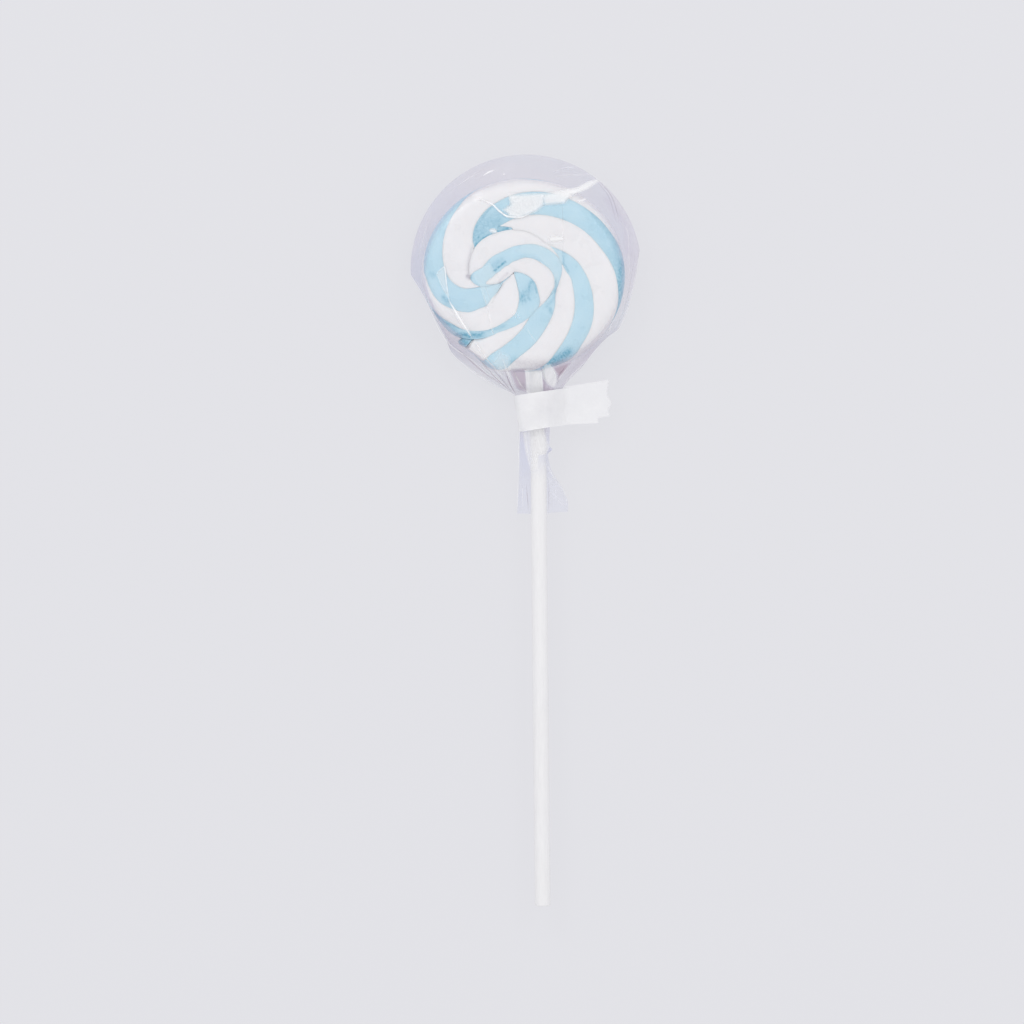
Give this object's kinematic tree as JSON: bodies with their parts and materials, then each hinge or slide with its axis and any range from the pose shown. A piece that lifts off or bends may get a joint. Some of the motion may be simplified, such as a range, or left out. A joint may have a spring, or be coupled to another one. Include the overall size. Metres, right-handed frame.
{
  "type": "swirl lollipop",
  "caption": "Flat round lollipop coiled from a twisted white and blue sugar rope, on a paper stick, in a clear wrapper gathered and taped round the stick.",
  "frame": {"origin": "on the flat underside of the wrapper, below the middle of the candy disc, where the lollipop rests", "axes": "+Y along the stick from its free end towards the candy, +Z out of the face that shows, +X to the right of that face"},
  "size_m": [0.0677, 0.2219, 0.0158],
  "materials": {
    "white_candy": "pulled hard sugar, white, smooth and faintly glossy",
    "blue_candy": "pulled hard sugar, pale sky blue, smooth and faintly glossy",
    "paper_stick": "tightly rolled white paper, matte",
    "clear_film": "thin clear film with a faint lilac cast, creased and shiny",
    "white_tape": "thin translucent white tape with a satin face"
  },
  "bodies": {
    "root": {"candy_white": "white_candy", "candy_blue_1": "blue_candy", "candy_blue_2": "blue_candy", "candy_blue_3": "blue_candy", "candy_blue_4": "blue_candy", "stick": "paper_stick", "film": "clear_film", "tape": "white_tape"}
  },
  "joints": []
}
